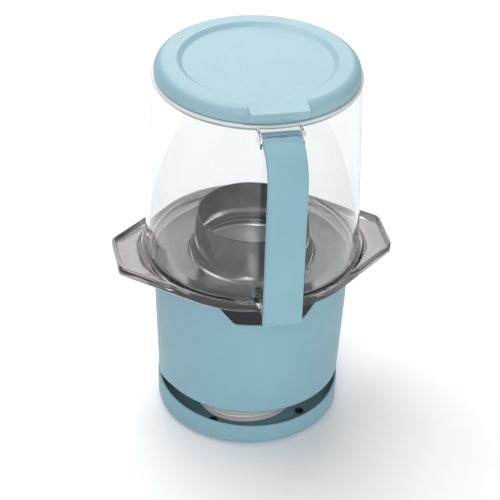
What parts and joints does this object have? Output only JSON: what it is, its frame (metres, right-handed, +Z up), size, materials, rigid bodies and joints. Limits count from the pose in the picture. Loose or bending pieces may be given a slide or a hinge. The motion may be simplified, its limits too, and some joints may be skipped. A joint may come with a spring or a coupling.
{
  "type": "popcorn maker",
  "caption": "Compact hot-air popcorn maker: round base with a cord store at its foot, lift-off smoked tray with two grips, clear jar with a strap handle, and a lid.",
  "frame": {"origin": "middle of the footprint, on the surface that the feet stand on", "axes": "+Z up; the front, with the handle, badge and lid tab, faces -Y; the tray's grips point along +X and -X"},
  "size_m": [0.221, 0.2068, 0.315],
  "materials": {
    "aqua_shell": "fine matte moulding, soft sheen",
    "lid_aqua": "fine matte moulding",
    "clear_jar": "clear polished plastic",
    "smoked_tray": "smoked translucent plastic, polished",
    "charcoal": "satin heat-resistant plastic",
    "black_plastic": "satin moulding",
    "foot_rubber": "soft matte rubber",
    "cord_white": "smooth vinyl",
    "aluminium": "satin spun aluminium",
    "steel": "zinc-plated sheet",
    "brass": "bright brass",
    "mica": "mica board",
    "nichrome": "oxidised resistance wire",
    "board_green": "circuit board"
  },
  "bodies": {
    "base": {"base_dish": "aqua_shell", "cord_hub": "aqua_shell", "outer_housing": "aqua_shell", "front_badge": "charcoal", "top_deck": "charcoal", "cord_clamp": "black_plastic", "base_plate": "black_plastic", "fan_duct": "black_plastic", "motor_end_bell": "black_plastic", "foot_1": "foot_rubber", "foot_2": "foot_rubber", "foot_3": "foot_rubber", "foot_4": "foot_rubber", "cord_coil": "cord_white", "cord_lead_in": "cord_white", "cord_lead_out": "cord_white", "strain_relief": "cord_white", "plug_body": "cord_white", "mains_wire_live": "cord_white", "mains_wire_neutral": "cord_white", "popping_chamber": "aluminium", "base_screw_1": "steel", "base_screw_2": "steel", "base_screw_3": "steel", "housing_screw_1": "steel", "housing_screw_2": "steel", "housing_screw_3": "steel", "motor_bracket": "steel", "motor_can": "steel", "thermostat": "steel", "air_sleeve": "steel", "tie_rod_1": "steel", "tie_rod_2": "steel", "tie_rod_3": "steel", "plug_blade_a": "brass", "plug_blade_b": "brass", "motor_bush": "brass", "motor_terminal_a": "brass", "motor_terminal_b": "brass", "thermal_fuse": "brass", "heater_frame": "mica", "heater_coil": "nichrome", "rectifier_board": "board_green"},
    "tray": {"cover_tray": "smoked_tray"},
    "jar": {"jar": "clear_jar", "handle": "aqua_shell"},
    "lid": {"lid": "lid_aqua"},
    "rotor": {"motor_shaft": "steel", "impeller": "black_plastic"}
  },
  "joints": [
    {"name": "tray_lift", "type": "slide", "parent": "base", "child": "tray", "axis": [0, 0, 1], "range_m": [0, 0.12]},
    {"name": "jar_lift", "type": "slide", "parent": "tray", "child": "jar", "axis": [0, 0, 1], "range_m": [0, 0.12]},
    {"name": "lid_lift", "type": "slide", "parent": "jar", "child": "lid", "axis": [0, 0, 1], "range_m": [0, 0.1]},
    {"name": "fan_spin", "type": "hinge", "parent": "base", "child": "rotor", "pos_m": [0, 0.0146, 0.055], "axis": [0, 0, 1], "continuous": true}
  ]
}
